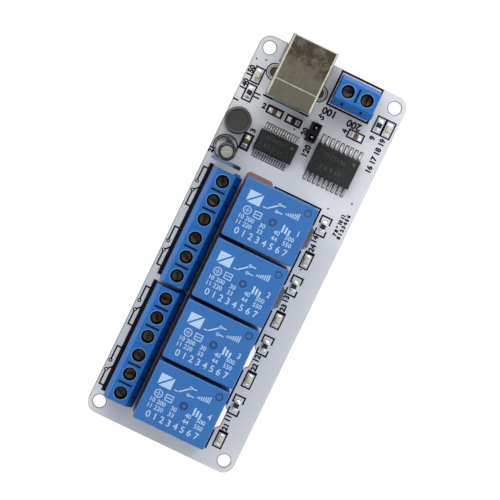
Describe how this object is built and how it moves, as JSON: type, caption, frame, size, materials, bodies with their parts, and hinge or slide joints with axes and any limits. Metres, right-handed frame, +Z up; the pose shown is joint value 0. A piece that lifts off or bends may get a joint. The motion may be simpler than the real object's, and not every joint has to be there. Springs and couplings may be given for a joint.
{
  "type": "relay module board",
  "caption": "Narrow circuit board with a row of sealed relays, a row of screw terminals along one edge and a square data socket at one end.",
  "frame": {"origin": "centre of the four mounting holes, on the board's underside", "axes": "+Y along the board towards the end with the square data socket, +X towards the edge without the row of terminals, +Z up from the underside to the relays"},
  "size_m": [0.04, 0.1054, 0.0184],
  "materials": {
    "board": "glass and epoxy laminate with a satin pale grey coat",
    "solder": "bright solder",
    "relay_case_plastic": "moulded blue, satin",
    "black_plastic": "moulded black",
    "copper_wire": "enamelled copper",
    "plated_iron": "plated soft iron",
    "spring_bronze": "rolled spring strip",
    "tinned_pins": "tinned brass",
    "terminal_plastic": "moulded blue, smooth",
    "screw_steel": "plated, a little dull",
    "clamp_metal": "plated",
    "socket_shell_metal": "dull nickel plate",
    "socket_insulator_plastic": "moulded pale",
    "gilt_contacts": "thin gilt",
    "chip_plastic": "moulded dark grey",
    "ferrite": "sintered, matt",
    "choke_sleeve_plastic": "shrunk black sleeve",
    "can_aluminium": "drawn",
    "capacitor_sleeve_plastic": "shrunk dark sleeve",
    "bung_rubber": "moulded black",
    "resistor_black": "glazed black top",
    "capacitor_brown": "fired brown",
    "end_cap_tin": "tinned",
    "light_base": "pale laminate",
    "light_lens": "clear resin, pale green-yellow"
  },
  "bodies": {
    "board": {"capacitor_bung": "bung_rubber", "capacitor_can": "can_aluminium", "capacitor_sleeve": "capacitor_sleeve_plastic", "chip_capacitors": "capacitor_brown", "chip_resistors": "resistor_black", "choke_core": "ferrite", "choke_sleeve": "choke_sleeve_plastic", "choke_winding": "copper_wire", "circuit_board": "board", "data_chip_body": "chip_plastic", "data_chip_leads": "tinned_pins", "driver_chip_body": "chip_plastic", "driver_chip_leads": "tinned_pins", "end_caps": "end_cap_tin", "jumper_cap": "black_plastic", "jumper_clip": "gilt_contacts", "light_bases": "light_base", "light_lenses": "light_lens", "post_base": "black_plastic", "posts": "gilt_contacts", "power_terminal_housing": "terminal_plastic", "relay_base_1": "black_plastic", "relay_base_2": "black_plastic", "relay_base_3": "black_plastic", "relay_base_4": "black_plastic", "relay_case_1": "relay_case_plastic", "relay_case_2": "relay_case_plastic", "relay_case_3": "relay_case_plastic", "relay_case_4": "relay_case_plastic", "relay_terminal_housing_1": "terminal_plastic", "relay_terminal_housing_2": "terminal_plastic", "relay_terminal_housing_3": "terminal_plastic", "relay_terminal_housing_4": "terminal_plastic", "relay_terminals": "tinned_pins", "relay_winding_1": "copper_wire", "relay_winding_2": "copper_wire", "relay_winding_3": "copper_wire", "relay_winding_4": "copper_wire", "relay_yoke_1": "plated_iron", "relay_yoke_2": "plated_iron", "relay_yoke_3": "plated_iron", "relay_yoke_4": "plated_iron", "round_leads": "tinned_pins", "socket_contacts": "gilt_contacts", "socket_insulator": "socket_insulator_plastic", "socket_shell": "socket_shell_metal", "solder_joints": "solder", "terminal_clamps": "clamp_metal", "terminal_pins": "tinned_pins", "terminal_screws": "screw_steel"},
    "armature_1": {"relay_armature_1": "plated_iron", "relay_spring_1": "spring_bronze"},
    "armature_2": {"relay_armature_2": "plated_iron", "relay_spring_2": "spring_bronze"},
    "armature_3": {"relay_armature_3": "plated_iron", "relay_spring_3": "spring_bronze"},
    "armature_4": {"relay_armature_4": "plated_iron", "relay_spring_4": "spring_bronze"}
  },
  "joints": [
    {"name": "relay_armature_1_hinge", "type": "hinge", "parent": "board", "child": "armature_1", "pos_m": [0.00935, 0.0102, 0.01206], "axis": [0, -1, 0], "range_deg": [0, 2.5], "stiffness_Nm_per_rad": 0.002, "springref_deg": -5.73},
    {"name": "relay_armature_2_hinge", "type": "hinge", "parent": "board", "child": "armature_2", "pos_m": [0.00935, -0.0062, 0.01206], "axis": [0, -1, 0], "range_deg": [0, 2.5], "stiffness_Nm_per_rad": 0.002, "springref_deg": -5.73},
    {"name": "relay_armature_3_hinge", "type": "hinge", "parent": "board", "child": "armature_3", "pos_m": [0.00935, -0.0226, 0.01206], "axis": [0, -1, 0], "range_deg": [0, 2.5], "stiffness_Nm_per_rad": 0.002, "springref_deg": -5.73},
    {"name": "relay_armature_4_hinge", "type": "hinge", "parent": "board", "child": "armature_4", "pos_m": [0.00935, -0.039, 0.01206], "axis": [0, -1, 0], "range_deg": [0, 2.5], "stiffness_Nm_per_rad": 0.002, "springref_deg": -5.73}
  ]
}
